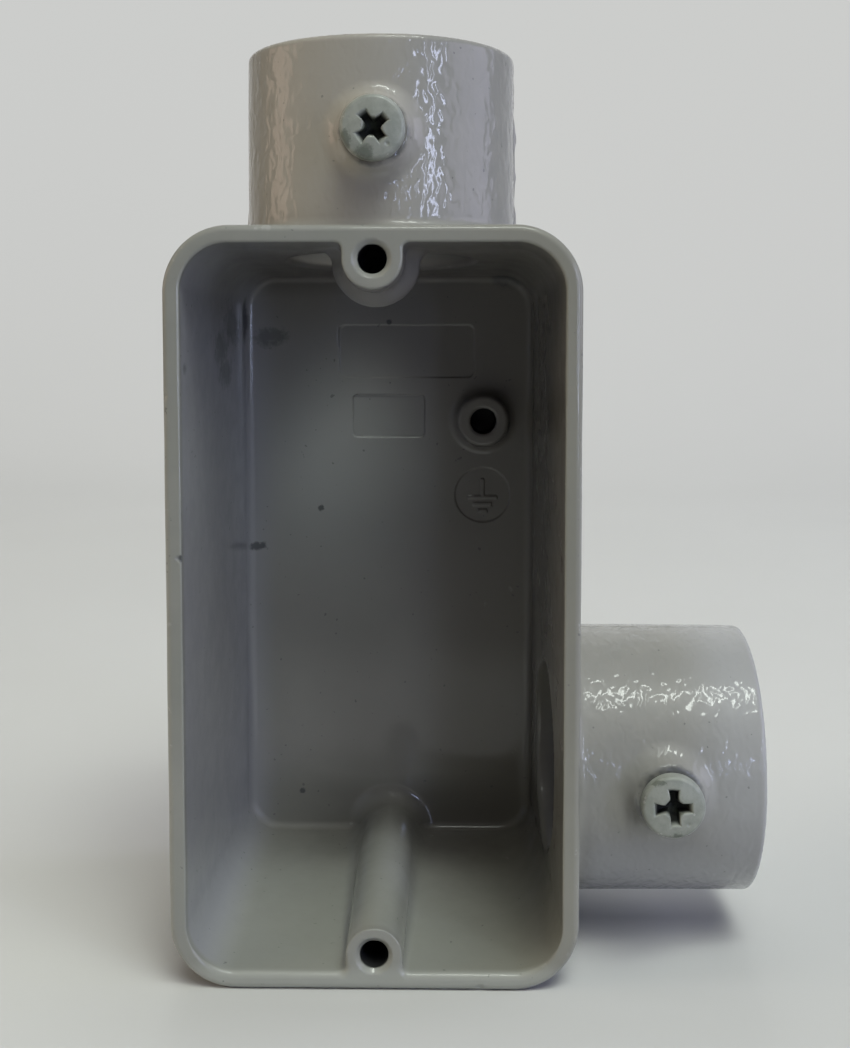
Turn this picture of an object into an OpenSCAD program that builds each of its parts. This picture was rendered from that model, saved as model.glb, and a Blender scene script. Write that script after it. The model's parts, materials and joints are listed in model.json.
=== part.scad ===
// Cast conduit box, open at the front, with two set-screw hubs.
// +Z up, +X towards the side hub, the open front faces -Y.
// Origin: on the standing face (z = 0), at the crossing of the box's middle
// plane (x = 0) and the plane of both conduit axes (y = 0).

/* [Box] */
// Width of the box across the open rim
body_w = 42; // [34:0.5:60]
// Height of the box, end to end
body_h = 78; // [66:0.5:110]
// Depth of the box, rim to back
body_d = 40; // [34:0.5:56]
// Radius of the four corners seen from the front
corner_r = 6.7; // [4:0.1:10]
// Rounding of the outer edge at the rim
rim_edge_r = 0.7; // [0.3:0.1:1]
// Rounding of the outer edge at the back
back_edge_r = 1.8; // [0.8:0.1:3]
// Wall thickness at the rim
rim_t = 1.75; // [1.5:0.05:3]
// Thickness of the back wall
back_t = 2; // [1.5:0.1:4]
// How much each long wall thickens towards the back
side_draft = 1.1; // [0:0.1:2]
// How much each end wall thickens towards the back
end_draft = 1.6; // [0:0.1:3]
// Rounding between the walls and the floor of the box
floor_r = 1.2; // [0.5:0.1:3]

/* [Hubs] */
// Outside diameter of each hub
hub_d = 29.8; // [28:0.1:40]
// Bore that takes the conduit
hub_bore_d = 23.8; // [23.6:0.05:26.8]
// Smaller opening behind the conduit stop
throat_d = 20.9; // [16:0.1:22.5]
// Length of the top hub beyond the box
top_hub_l = 19.8; // [14:0.1:30]
// Length of the side hub beyond the box
side_hub_l = 20.2; // [14:0.1:30]
// Thickness of the conduit stop, from the inside of the box wall
stop_t = 3.5; // [2.5:0.1:5]
// Height of the side hub's axis above the standing face
side_hub_z = 18.8; // [17:0.1:40]
// Rounding of each hub's outer end edge
hub_edge_r = 0.6; // [0.2:0.1:1.2]
// Fillet where each hub meets the box
hub_root_r = 1.2; // [0.5:0.1:2]
// Lead-in chamfer at each hub's mouth
mouth_c = 0.5; // [0.2:0.1:1]

/* [Cover screw lugs] */
// Distance of the top cover screw hole from the top end of the box
lug_inset = 3.4; // [3:0.1:5]
// Radius of each lug round its hole
lug_r = 3.05; // [2.6:0.05:4]
// Cover screw hole diameter
cover_hole_d = 2.9; // [2.4:0.1:3.4]
// Cover screw hole depth
cover_hole_l = 8; // [5:0.5:12]
// Depth of the top lug from the rim
top_lug_l = 9.3; // [8.5:0.1:9.4]

/* [Ground screw boss] */
// Sideways position of the ground screw boss
gnd_x = 11.9; // [8:0.1:13]
// Height of the ground screw boss
gnd_z = 56.5; // [50:0.1:60]
// Diameter of the boss at its top
gnd_boss_d = 6.1; // [5:0.1:8]
// Height of the boss above the floor of the box
gnd_boss_l = 3.4; // [2:0.1:5]
// Ground screw hole diameter
gnd_hole_d = 3.2; // [2.8:0.1:4]
// Height of the earth symbol's centre
emblem_z = 46.9; // [42:0.1:48]

/* [Set screws] */
// Set screw hole diameter
set_hole_d = 4.72; // [4.2:0.02:5.2]
// Set screw shank diameter
set_shank_d = 4.6; // [4:0.02:5]
// Set screw head diameter
set_head_d = 6.6; // [6:0.1:8]
// Set screw head thickness
set_head_l = 1.8; // [1.2:0.1:2.6]
// Gap left between the screw head and its boss
set_gap = 1.2; // [0.8:0.1:1.8]
// Height of the set screw boss above the hub
set_boss_l = 1.1; // [0.6:0.1:2]
// Distance of the top set screw from its hub's outer end
top_set_inset = 10.1; // [7:0.1:12]
// Distance of the side set screw from its hub's outer end
side_set_inset = 10.5; // [7:0.1:12]

/* [Hidden] */
$fn = 64;
sliver = 0.01;     // thin plate, or overlap of touching shapes
overshoot = 1;     // how far a cutter starts outside the face it cuts
floor_overlap = 0.5; // how far shapes on the floor cross its plane

y_rim = -body_d / 2;
y_floor = body_d / 2 - back_t;
hub_r = hub_d / 2;
stop_face = stop_t - rim_t; // conduit stop, measured outwards from the box

top_hole_z = body_h - lug_inset;
bottom_hole_z = lug_inset + 0.2;
cover_hole_chamfer = 0.5;

// Centres of the set screws on the hub axes
top_set = [0, 0, body_h + top_hub_l - top_set_inset];
side_set = [body_w / 2 + side_hub_l - side_set_inset, 0, side_hub_z];
y_boss = -hub_r - set_boss_l;     // front face of each set screw boss
y_head = y_boss - set_gap;        // underside of each screw head
y_tip = -hub_bore_d / 2 - 0.2;    // screw tip, just short of the bore
set_hole_l = 6;
set_hole_chamfer = 0.3;

// Panels sunk into the floor: left x, bottom z, width, height, depth
panels = [
    [-6.3, 61.9, 17.1, 6.6, 0.25],
    [-4.6, 54.3,  9.1, 5.4, 0.3],
];

// Earth symbol, a stem and three bars: width, bottom z from its centre, height
emblem_bars = [
    [0.5, -0.3,  2.3],
    [3.8, -0.6,  0.5],
    [2.4, -1.45, 0.5],
    [1.1, -2.3,  0.5],
];
emblem_r = 3.5;
emblem_sink = 0.3;

casting_grey = [0.53, 0.53, 0.51];
screw_grey = [0.62, 0.64, 0.60];

// Turns +Z towards the back of the box.
module to_back() {
    rotate([-90, 0, 0]) children();
}

// Turns +Z towards the front of the box.
module to_front() {
    rotate([90, 0, 0]) children();
}

// A thin round plate facing the front, used to shape tapered pieces.
module plate(x, y, z, radius) {
    translate([x, y, z]) to_back() cylinder(h = sliver, r = radius, $fn = 32);
}

// Half section of a cylinder with its outer end edge rounded.
module rounded_end(radius, length, edge_r) {
    square([radius, length - edge_r]);
    square([radius - edge_r, length]);
    translate([radius - edge_r, length - edge_r]) circle(edge_r);
}

// Hole cut towards the back from a face at y = 0, chamfered at its mouth.
module chamfered_hole(diameter, depth, chamfer) {
    to_back() {
        translate([0, 0, -overshoot]) cylinder(h = depth + overshoot, d = diameter);
        translate([0, 0, -sliver])
            cylinder(h = chamfer, d1 = diameter + 2 * chamfer, d2 = diameter);
    }
}

// Section of the box edge, from the corner centre outwards and rim to back.
module edge_section() {
    translate([0, rim_edge_r]) square([corner_r, body_d - rim_edge_r - back_edge_r]);
    square([corner_r - rim_edge_r, body_d / 2]);
    translate([0, body_d / 2]) square([corner_r - back_edge_r, body_d / 2]);
    translate([corner_r - rim_edge_r, rim_edge_r]) circle(rim_edge_r);
    translate([corner_r - back_edge_r, body_d - back_edge_r]) circle(back_edge_r);
}

// Outside of the box: four round posts, four sides and a core.
module box_outside() {
    post_x = body_w / 2 - corner_r;
    post_z = body_h / 2 - corner_r;
    translate([0, y_rim, body_h / 2]) {
        for (x = [-post_x, post_x], z = [-post_z, post_z])
            translate([x, 0, z]) to_back() rotate_extrude($fn = 96) edge_section();
        for (flip = [0, 1]) {
            mirror([flip, 0, 0]) translate([post_x, 0, -post_z])
                linear_extrude(2 * post_z) edge_section();
            mirror([0, 0, flip]) translate([post_x, 0, post_z]) rotate([0, -90, 0])
                linear_extrude(2 * post_x) edge_section();
        }
        translate([-post_x, 0, -post_z]) cube([2 * post_x, body_d, 2 * post_z]);
    }
}

// Wiring chamber: tapers from the rim to the floor, with a rounded floor edge.
module chamber() {
    shrink = 0.9;   // how much smaller the corner radius is at the floor
    widen = 0.03;   // added to the radius of the two wall stations
    rim_x = body_w / 2 - corner_r;
    rim_z = body_h / 2 - corner_r;
    rim_r = corner_r - rim_t;
    low_x = rim_x - side_draft + shrink;
    low_z = rim_z - end_draft + shrink;
    low_r = rim_r - shrink;
    // Corner x, y, corner z from mid-height, corner radius
    stations = [
        [rim_x, y_rim - overshoot,       rim_z, rim_r + widen],
        [low_x, y_floor - floor_r,       low_z, low_r + widen],
        [low_x, y_floor - floor_r * 0.3, low_z, low_r - floor_r * 0.3],
        [low_x, y_floor - sliver,        low_z, low_r - floor_r],
    ];
    hull() for (s = stations, i = [-1, 1], k = [-1, 1])
        plate(i * s[0], s[1], body_h / 2 + k * s[2], s[3]);
}

// Outside of one hub, with a rounded end edge and a fillet at its root.
// The box face is at z = 0; the hub starts a little inside it.
module hub_outside(length) {
    sink = 1;
    root_sink = 0.9;
    translate([0, 0, -sink]) rotate_extrude($fn = 96)
        rounded_end(hub_r, length + sink, hub_edge_r);
    rotate_extrude($fn = 96) difference() {
        translate([hub_r - sink, -root_sink])
            square([hub_root_r + sink, hub_root_r + root_sink]);
        translate([hub_r + hub_root_r, hub_root_r]) circle(hub_root_r);
    }
}

// Conduit bore, conduit stop and throat of one hub.
module hub_inside(length) {
    throat_start = -8;
    stop_chamfer = 0.6;
    translate([0, 0, stop_face])
        cylinder(h = length - stop_face + overshoot, d = hub_bore_d, $fn = 96);
    translate([0, 0, length - mouth_c])
        cylinder(h = mouth_c + sliver, d1 = hub_bore_d,
                 d2 = hub_bore_d + 2 * (mouth_c + sliver), $fn = 96);
    translate([0, 0, throat_start]) cylinder(h = length, d = throat_d, $fn = 96);
    translate([0, 0, stop_face - stop_chamfer])
        cylinder(h = stop_chamfer + sliver, d1 = throat_d,
                 d2 = throat_d + 2 * stop_chamfer, $fn = 96);
}

module on_side() {
    translate([body_w / 2, 0, side_hub_z]) rotate([0, 90, 0]) children();
}

module on_top() {
    translate([0, 0, body_h]) children();
}

// Boss round a set screw hole, rising from the hub towards the front.
module set_boss() {
    sink = 1.4;
    translate([0, -hub_r + sink, 0]) to_front()
        cylinder(h = sink + set_boss_l, r1 = 5.6, r2 = 4.1);
}

// Cover screw lug, kept from reaching through the end walls.
// Stations: y, z from the hole, radius added to lug_r.
module lug(hole_z, stations) {
    intersection() {
        hull() for (s = stations) plate(0, s[0], hole_z + s[1], lug_r + s[2]);
        translate([-body_w / 2, y_rim, rim_t / 2])
            cube([body_w, body_d - back_t / 2, body_h - rim_t]);
    }
}

// Top lug: short, flares as it goes in, and ends before the hub's throat.
module top_lug() {
    y_end = y_rim + top_lug_l;
    y_flare = y_end - 1.6;
    lug(top_hole_z, [
        [y_rim,          0,   0],
        [y_rim,          2,   0.3],
        [y_flare,        0,   1.1],
        [y_flare,        1.2, 1.5],
        [y_end - sliver, 0.4, 0.1],
    ]);
}

// Bottom lug: a rib that runs the full depth of the box.
module bottom_lug() {
    y_end = y_floor + floor_overlap;
    lug(bottom_hole_z, [
        [y_rim,  0,   -0.1],
        [y_rim, -1.6,  0.5],
        [y_end,  0.1,  0.5],
        [y_end, -1,    1.6],
    ]);
}

module cover_hole(z) {
    translate([0, y_rim, z])
        chamfered_hole(cover_hole_d, cover_hole_l, cover_hole_chamfer, $fn = 48);
}

module ground_boss() {
    flare = 1.2; // extra diameter at the foot
    translate([gnd_x, y_floor + floor_overlap, gnd_z]) to_front()
        cylinder(h = gnd_boss_l + floor_overlap, d1 = gnd_boss_d + flare,
                 d2 = gnd_boss_d, $fn = 48);
}

// Blind hole through the boss and part of the back wall.
module ground_hole() {
    wall_depth = 1.2;
    translate([gnd_x, y_floor - gnd_boss_l - overshoot, gnd_z]) to_back()
        cylinder(h = gnd_boss_l + overshoot + wall_depth, d = gnd_hole_d, $fn = 48);
}

// Sunk disc with a raised earth symbol.
module emblem() {
    translate([gnd_x, y_floor - floor_overlap, emblem_z]) difference() {
        to_back() cylinder(h = floor_overlap + emblem_sink, r = emblem_r, $fn = 48);
        for (bar = emblem_bars)
            translate([-bar[0] / 2, 0, bar[1]]) cube([bar[0], 2, bar[2]]);
    }
}

module blank_panels() {
    for (p = panels)
        translate([p[0], y_floor - floor_overlap, p[1]])
            cube([p[2], floor_overlap + p[4], p[3]]);
}

module cast_body() color(casting_grey) difference() {
    union() {
        difference() {
            union() {
                box_outside();
                on_top() hub_outside(top_hub_l);
                on_side() hub_outside(side_hub_l);
                for (place = [top_set, side_set]) translate(place) set_boss();
            }
            chamber();
        }
        top_lug();
        bottom_lug();
        ground_boss();
    }
    on_top() hub_inside(top_hub_l);
    on_side() hub_inside(side_hub_l);
    for (place = [top_set, side_set])
        translate(place + [0, y_boss, 0])
            chamfered_hole(set_hole_d, set_hole_l, set_hole_chamfer);
    for (z = [top_hole_z, bottom_hole_z]) cover_hole(z);
    ground_hole();
    emblem();
    blank_panels();
}

// Cross recess with a conical centre, cut towards the back from y = 0.
module cross_recess() {
    slot_l = 4.2;
    slot_w = 0.9;
    slot_depth = 1;
    for (size = [[slot_l, slot_w], [slot_w, slot_l]])
        translate([-size[0] / 2, -overshoot, -size[1] / 2])
            cube([size[0], overshoot + slot_depth, size[1]]);
    translate([0, -sliver, 0]) to_back() cylinder(h = 1.9, r1 = 1.25, r2 = 0.3, $fn = 32);
}

// Set screw with its head to the front: plain shank, chamfered tip.
// turn is the angle of the cross recess about the screw's axis.
module set_screw(turn) {
    head_edge_r = 0.6;
    tip_chamfer = 0.5;
    difference() {
        union() {
            translate([0, y_head, 0]) to_front() rotate_extrude()
                rounded_end(set_head_d / 2, set_head_l, head_edge_r, $fn = 32);
            translate([0, y_head - sliver, 0]) to_back()
                cylinder(h = y_tip - y_head - tip_chamfer + sliver, d = set_shank_d);
            translate([0, y_tip - tip_chamfer, 0]) to_back()
                cylinder(h = tip_chamfer, d1 = set_shank_d, d2 = set_shank_d - 2 * tip_chamfer);
        }
        translate([0, y_head - set_head_l, 0]) rotate([0, turn, 0]) cross_recess();
    }
}

module top_set_screw() color(screw_grey) translate(top_set) set_screw(turn = 38);

module side_set_screw() color(screw_grey) translate(side_set) set_screw(turn = 3);

cast_body();
top_set_screw();
side_set_screw();
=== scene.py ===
"""Cast, enamelled conduit box with an open wiring chamber and two clamp screws.

The box stands on z = 0 and is centred on x = 0. Its open rim faces the front (-y), one conduit
hub rises from the top (+z) and one leaves the right side (+x). Shapes are signed distance
fields in millimetres, negative inside the metal; each is meshed and scaled to metres.
"""
import json
import math

import bmesh
import bpy
import numpy as np
from mathutils import Matrix, Vector


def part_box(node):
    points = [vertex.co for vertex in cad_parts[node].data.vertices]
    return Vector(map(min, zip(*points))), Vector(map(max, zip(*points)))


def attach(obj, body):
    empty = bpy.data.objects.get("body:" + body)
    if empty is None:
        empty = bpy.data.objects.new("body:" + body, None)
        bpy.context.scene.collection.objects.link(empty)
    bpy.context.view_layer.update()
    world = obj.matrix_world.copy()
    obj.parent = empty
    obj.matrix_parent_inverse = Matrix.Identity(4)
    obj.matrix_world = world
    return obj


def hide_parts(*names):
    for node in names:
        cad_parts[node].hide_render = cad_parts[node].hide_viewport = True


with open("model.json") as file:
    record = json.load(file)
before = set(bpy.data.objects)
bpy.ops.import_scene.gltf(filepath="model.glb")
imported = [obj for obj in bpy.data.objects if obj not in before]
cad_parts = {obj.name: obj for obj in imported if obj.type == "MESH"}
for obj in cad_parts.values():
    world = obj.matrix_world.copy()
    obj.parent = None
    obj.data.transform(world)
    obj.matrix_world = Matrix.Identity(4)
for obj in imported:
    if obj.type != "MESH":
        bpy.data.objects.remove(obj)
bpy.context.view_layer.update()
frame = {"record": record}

MM = 0.001
F32 = np.float32
COARSEN = 1.0   # factor on every grid spacing


# ---------------------------------------------------------------- sizes, in mm
def to_mm(point):
    return [float(value) * 1000.0 for value in point]


def screw_box(node):
    """Axis (x, z), front y and back y of a set screw."""
    low, high = [to_mm(corner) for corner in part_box(node)]
    return ((low[0] + high[0]) / 2, (low[2] + high[2]) / 2), low[1], high[1]


mounts = {mount["name"]: mount for mount in frame["record"]["mounts"]}
top_bore = mounts["top_conduit_bore"]
side_bore = mounts["side_conduit_bore"]
cover = mounts["cover_screws"]
ground = mounts["ground_screw"]
body_low, body_high = [to_mm(corner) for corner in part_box("cast_body")]

HALF_W = -body_low[0]
FRONT_Y, BACK_Y = body_low[1], body_high[1]
MID_Y = (FRONT_Y + BACK_Y) / 2
HALF_D = (BACK_Y - FRONT_Y) / 2
BOX_H = mounts["cover_rim"]["pos_m"][2] * 2000.0
CORNER = 6.7                           # outer corner radius seen from the front
FLOOR_Y = BACK_Y - 2.0                 # back wall of the chamber

TOP_END, SIDE_END = body_high[2], body_high[0]
SIDE_Z = to_mm(side_bore["pos_m"])[2]
HUB_R = 14.92
BORE_R = top_bore["dims"]["r_mm"]
THROAT_R = 10.45
TOP_STOP = TOP_END - 0.5 - top_bore["dims"]["length_mm"]      # step below each bore
SIDE_STOP = SIDE_END - 0.5 - side_bore["dims"]["length_mm"]
TOP_THROAT, SIDE_THROAT = 73.0, 16.0   # inner end of each throat

COVER_R = cover["dims"]["hole_r_mm"]
COVER_Z = [to_mm(cover["pos_m"])[2] + side * cover["dims"]["spacing_y_mm"] / 2
           for side in (1, -1)]
GROUND_X, _, GROUND_Z = to_mm(ground["pos_m"])
GROUND_R = ground["dims"]["r_mm"]
GROUND_Y = 14.6                        # front face of the ground screw boss

TOP_SCREW, HEAD_Y, TIP_Y = screw_box("top_set_screw")
SIDE_SCREW = screw_box("side_set_screw")[0]
SET_SCREWS = (TOP_SCREW, SIDE_SCREW)
SET_HOLE_R = 2.36
BOSS_Y = -16.0                         # front face of the set screw bosses


# ------------------------------------------------------- distance-field helpers
def rounded_rect(x, z, half_x, half_z, corner):
    over_x, over_z = np.abs(x) - (half_x - corner), np.abs(z) - (half_z - corner)
    outside = np.sqrt(np.maximum(over_x, 0) ** 2 + np.maximum(over_z, 0) ** 2)
    return outside + np.minimum(np.maximum(over_x, over_z), 0) - corner


def join(one, two, fillet):
    """Union with a round fillet."""
    corner = np.sqrt(np.maximum(fillet - one, 0) ** 2 + np.maximum(fillet - two, 0) ** 2)
    return np.maximum(fillet, np.minimum(one, two)) - corner


def meet(one, two, edge):
    """Intersection with an edge of radius edge."""
    corner = np.sqrt(np.maximum(edge + one, 0) ** 2 + np.maximum(edge + two, 0) ** 2)
    return np.minimum(-edge, np.maximum(one, two)) + corner


def cut(solid, tool, edge):
    """Solid less tool, with a rounded edge."""
    return meet(solid, -tool, edge)


def hypot(one, two):
    return np.sqrt(one * one + two * two)


def sphere(x, y, z, radius):
    return np.sqrt(x ** 2 + y ** 2 + z ** 2) - radius


def drill(radial, y, radius, end, point):
    """Hole along y, closed near y = end by a cone of slope point."""
    return np.maximum(radial - radius, y - end + point * radial)


def countersink(radial, y, face, radius):
    return (radial + (y - face) - radius) * 0.7071


# ------------------------------------------------------------------ cast body
def unevenness(x, y, z):
    """Slow unevenness of a cast and enamelled skin."""
    return (0.020 * np.sin(0.31 * x + 0.17 * z + 1.3) * np.sin(0.23 * y - 0.19 * z + 0.7)
            + 0.010 * np.sin(0.57 * x - 0.36 * y + 0.21 * z + 2.1)
            * np.sin(0.13 * x + 0.33 * y - 0.47 * z + 0.4))


def flash(across, along, height):
    """Thin broken line left where the two mould halves met."""
    broken = 0.55 + 0.45 * np.sin(0.9 * along + 0.6) * np.sin(2.3 * along + 1.1)
    return height * broken * np.exp(-(across / 0.17) ** 2)


def hub_side(radial, height):
    return radial - (HUB_R - 0.006 * height)


def add_hub(solid, side, past_end, height):
    """Round the hub's mouth and fillet it to the box, from 1.2 below the box face."""
    hub = meet(side, past_end, edge=0.65)
    return join(solid, np.maximum(hub, -(height + 1.2)), fillet=1.25)


def outer_form(x, y, z, top_radial, side_radial):
    """Box, hubs and set screw bosses."""
    outline = rounded_rect(x, z - BOX_H / 2, HALF_W, BOX_H / 2, CORNER)
    outline = outline - flash(y, z + 0.7 * x, height=0.07)
    edge = np.where(y < 0, 0.7, 1.8).astype(F32)
    solid = meet(outline, np.abs(y - MID_Y) - HALF_D, edge)

    # the top hub has a taller flash that reaches higher on its right
    tall = np.where(x > 0, np.clip((92.5 - z) / 3.0, 0, 1), np.clip((85.5 - z) / 2.0, 0, 1))
    height = z - BOX_H
    side = (hub_side(top_radial, height) - flash(y, z, height=0.10)
            - tall * flash(y, 0.4 * z, height=0.26))
    solid = add_hub(solid, side, z - TOP_END, height)

    height = x - HALF_W
    side = hub_side(side_radial, height) - flash(y, x + 3 * np.sign(z - SIDE_Z), height=0.10)
    solid = add_hub(solid, side, x - SIDE_END, height)

    for screw_x, screw_z in SET_SCREWS:
        radial = hypot(x - screw_x, z - screw_z)
        boss = meet(radial - (3.66 + 0.24 * np.maximum(y - BOSS_Y, 0)), BOSS_Y - y, edge=0.38)
        solid = join(solid, np.maximum(boss, y + 8), fillet=1.5)
    return solid


def chamber_space(x, y, z):
    """Hollow of the box around its lugs, rib and ground screw boss."""
    depth = (y - FRONT_Y) / (FLOOR_Y - FRONT_Y)
    walls = rounded_rect(x, z - BOX_H / 2, HALF_W - 1.75 - 1.1 * depth,
                         BOX_H / 2 - 1.75 - 1.6 * depth, 4.95 - 0.9 * depth)
    space = meet(walls, y - FLOOR_Y, edge=0.95)

    # top lug: flares and ends before the throat
    behind = np.clip(y - FRONT_Y, 0, 40)
    radial = hypot(x, np.minimum(z - COVER_Z[0], 0))
    flare = np.clip((behind - 4.3) / 3.2, 0, 1)
    lug_r = 3.05 + 0.04 * behind + 1.25 * flare * flare * (3 - 2 * flare)
    lug = meet(radial - lug_r, y - (FRONT_Y + 9.3), edge=1.1)
    space = cut(space, lug, np.clip(0.7 + 0.1 * behind, 0.7, 1.6).astype(F32))

    # bottom lug: a rib to the back
    rib = hypot(x, np.maximum(z - COVER_Z[1], 0)) - (2.92 + 0.016 * behind)
    space = cut(space, rib, np.clip(0.65 + 0.05 * behind, 0.65, 2.3).astype(F32))

    radial = hypot(x - GROUND_X, z - GROUND_Z)
    boss = meet(radial - (3.05 + 0.16 * (y - GROUND_Y)), GROUND_Y - y, edge=0.3)
    return cut(space, boss, edge=0.9)


def cut_holes(solid, x, y, z, top_radial, side_radial):
    """Conduit bores and throats, then the holes of all the screws."""
    for radial, along, stop, throat_end in ((top_radial, z, TOP_STOP, TOP_THROAT),
                                            (side_radial, x, SIDE_STOP, SIDE_THROAT)):
        solid = cut(solid, meet(radial - BORE_R, stop - along, edge=0.25), edge=0.45)
        throat = np.maximum(radial - THROAT_R, throat_end - along)
        solid = cut(solid, throat, edge=0.6)

    for screw_x, screw_z in SET_SCREWS:
        radial = hypot(x - screw_x, z - screw_z)
        solid = cut(solid, np.maximum(radial - SET_HOLE_R, y + 9), edge=0.12)

    for screw_z in COVER_Z:
        radial = hypot(x, z - screw_z)
        hole = np.minimum(drill(radial, y, COVER_R, end=FRONT_Y + 8.0, point=0.5),
                          countersink(radial, y, FRONT_Y, COVER_R + 0.48))
        solid = cut(solid, hole, edge=0.08)

    radial = hypot(x - GROUND_X, z - GROUND_Z)
    mouth = countersink(radial, y, GROUND_Y, GROUND_R + 0.25)
    hole = np.minimum(drill(radial, y, GROUND_R, end=19.2, point=0.35),
                      np.maximum(mouth, GROUND_Y - 2 - y))
    return cut(solid, np.maximum(hole, GROUND_Y - 3 - y), edge=0.08)


def floor_marks(x, y, z):
    """Two blank panels and an earth symbol on a disc, sunk into the chamber floor."""
    upper = rounded_rect(x - 2.25, z - 65.2, 8.55, 3.3, 0.8)
    lower = rounded_rect(x + 0.05, z - 57.0, 4.55, 2.7, 0.5)
    marks = np.minimum(meet(upper, y - (FLOOR_Y + 0.20), edge=0.12),
                       meet(lower, y - (FLOOR_Y + 0.3), edge=0.12))

    symbol = rounded_rect(x - GROUND_X, z - 47.75, 0.25, 1.25, 0.1)
    for bar_z, half_length in ((46.55, 1.9), (45.7, 1.2), (44.85, 0.6)):
        bar = rounded_rect(x - GROUND_X, z - bar_z, half_length, 0.25, 0.1)
        symbol = np.minimum(symbol, bar)
    disc = meet(hypot(x - GROUND_X, z - 46.9) - 3.5, y - (FLOOR_Y + 0.18), edge=0.14)
    marks = np.minimum(marks, cut(disc, symbol, edge=0.10))
    return np.maximum(marks, FLOOR_Y - 2 - y)


# x, y, z, radius: one knock in the lower rim, one in the right rim, two in the left
RIM_KNOCKS = ((10.9, -20.3, 0.1, 0.62), (21.25, -20.1, 10.6, 0.5),
              (-19.5, -20.1, 44.6, 0.3), (-20.9, -19.9, 61.0, 0.35))


def casting(x, y, z):
    top_radial, side_radial = hypot(x, y), hypot(y, z - SIDE_Z)
    solid = outer_form(x, y, z, top_radial, side_radial)
    # the inner rim edge is rounder towards the bottom
    edge = 0.14 + 0.10 * (z > 60) + 0.52 * np.clip((4.5 - z) / 3.0, 0, 1)
    solid = cut(solid, chamber_space(x, y, z), edge.astype(F32))
    solid = cut_holes(solid, x, y, z, top_radial, side_radial)
    solid = cut(solid, floor_marks(x, y, z), edge=0.16)
    for knock_x, knock_y, knock_z, radius in RIM_KNOCKS:
        solid = cut(solid, sphere(x - knock_x, y - knock_y, z - knock_z, radius), edge=0.12)
    return solid + unevenness(x, y, z)


# ----------------------------------------------------------------- set screws
def set_screw(turn, arm):
    """Screw field about x = z = 0; turn (degrees) and arm (length) shape its cross recess."""
    cosine, sine = math.cos(math.radians(turn)), math.sin(math.radians(turn))
    under_y = HEAD_Y + 1.8             # back face of the head

    def shank(x, y, z, radial):
        phase = y / 0.8 + np.arctan2(z, x) / (2 * math.pi)    # pitch 0.8
        triangle = np.abs(phase - np.floor(phase) - 0.5) * 2.0
        thread = np.clip((triangle - 0.10) / 0.78, 0, 1)
        radius = 1.93 + 0.36 * thread - np.clip(y - (TIP_Y - 0.7), 0, 0.8)
        solid = np.maximum((radial - radius) * 0.72, y - TIP_Y)
        return np.maximum(solid, under_y - 0.5 - y)

    def recess(x, y, z, radial):
        across, along = cosine * x + sine * z, -sine * x + cosine * z
        depth = y - HEAD_Y
        # worn arms: length and half width vary slowly over the face
        length = arm - 0.50 * depth + 0.10 * np.sin(2.3 * across + 1.1 * along)
        width = (0.42 - 0.055 * depth + 0.040 * (across * across + along * along)
                 + 0.09 * np.sin(2.4 * across + 0.8) + 0.08 * np.sin(2.1 * along + 2.0))
        across, along = np.abs(across), np.abs(along)
        cross = np.minimum(np.maximum((across - length) * 0.9, along - width),
                           np.maximum((along - length) * 0.9, across - width))
        cross = np.minimum(cross, (across + along) * 0.7071 - (0.98 - 0.30 * depth))
        return np.maximum(cross, depth - 2.1 + 0.5 * radial)

    def field(x, y, z):
        radial = hypot(x, z)
        crown = (HEAD_Y + 0.34 * (radial / 3.3) ** 2) - y
        head = meet(meet(radial - 3.28, crown, edge=0.42), y - under_y, edge=0.12)
        solid = join(head, shank(x, y, z, radial), fillet=0.18)
        solid = cut(solid, recess(x, y, z, radial), edge=0.17)
        # small dents in the face
        for dent_x, dent_z, radius in ((1.5, -1.7, 0.24), (-2.35, 0.9, 0.20)):
            solid = cut(solid, sphere(x - dent_x, y - HEAD_Y, z - dent_z, radius), edge=0.1)
        return solid + 0.012 * np.sin(2.1 * x + 1.2) * np.sin(1.9 * z + 0.3)

    return field


# ------------------------------------------------------------------- meshing
def steps(low, high, spacing, fine=()):
    """Grid lines from low to high, closer inside the fine bands (start, end, spacing)."""
    marks = {low, high}
    for band in fine:
        marks.update(mark for mark in band[:2] if low < mark < high)
    marks = sorted(marks)
    lines = []
    for start, end in zip(marks[:-1], marks[1:]):
        middle = (start + end) / 2
        local = min([spacing] + [band[2] for band in fine if band[0] <= middle <= band[1]])
        count = max(1, int(math.ceil((end - start) / (local * COARSEN) - 1e-6)))
        lines.extend(start + (end - start) * i / count for i in range(count))
    lines.append(high)
    return np.array(lines, dtype=np.float64)


CUBE = [(i, j, k) for i in (0, 1) for j in (0, 1) for k in (0, 1)]
TETRAHEDRON = ((1, -1, -1), (-1, -1, 1), (-1, 1, -1), (1, 1, 1))


def sample(field, grid):
    x, y, z = [lines.astype(F32) for lines in grid]
    values = np.empty((len(x), len(y), len(z)), dtype=F32)
    for i in range(0, len(x), 8):      # in slabs, to save memory
        values[i:i + 8] = field(x[i:i + 8, None, None], y[None, :, None], z[None, None, :])
    values[values == 0] = 1e-6
    return values


def surface_cells(inside):
    """Indices of the cells the surface crosses, and a lookup from cell to vertex."""
    cells_x, cells_y, cells_z = [size - 1 for size in inside.shape]
    count = np.zeros((cells_x, cells_y, cells_z), dtype=np.int8)
    for i, j, k in CUBE:
        count += inside[i:cells_x + i, j:cells_y + j, k:cells_z + k]
    active = (count > 0) & (count < 8)
    cells = np.nonzero(active)
    index = np.full(active.shape, -1, dtype=np.int32)
    index[cells] = np.arange(len(cells[0]), dtype=np.int32)
    return cells, index


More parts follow.
